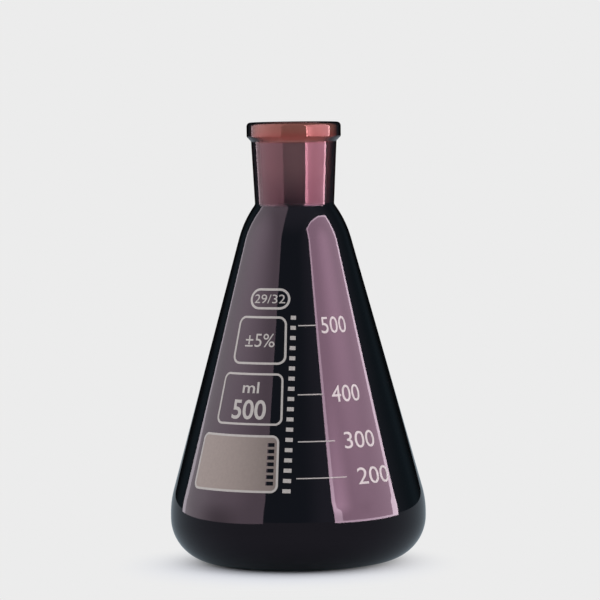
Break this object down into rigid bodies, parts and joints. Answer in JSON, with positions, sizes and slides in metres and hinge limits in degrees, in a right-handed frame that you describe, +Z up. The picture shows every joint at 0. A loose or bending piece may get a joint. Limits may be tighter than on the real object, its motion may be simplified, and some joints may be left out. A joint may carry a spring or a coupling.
{
  "type": "erlenmeyer flask",
  "caption": "Conical laboratory flask of dark amber-stained glass, with a ground conical socket in its neck, a flat base and printed volume marks.",
  "frame": {"origin": "middle of the face the flask stands on, on the flask's axis", "axes": "+Z up along the flask's axis; -Y is the side with the printed marks, +X is to the right of a person who reads them"},
  "size_m": [0.105, 0.105, 0.18],
  "materials": {
    "stained_glass": "glossy, stained dark amber and nearly opaque in the body, reddish in the neck, ground matt inside the socket",
    "enamel": "thin fired print on the outside of the cone, slightly matt"
  },
  "bodies": {
    "root": {"flask": "stained_glass"}
  },
  "joints": []
}
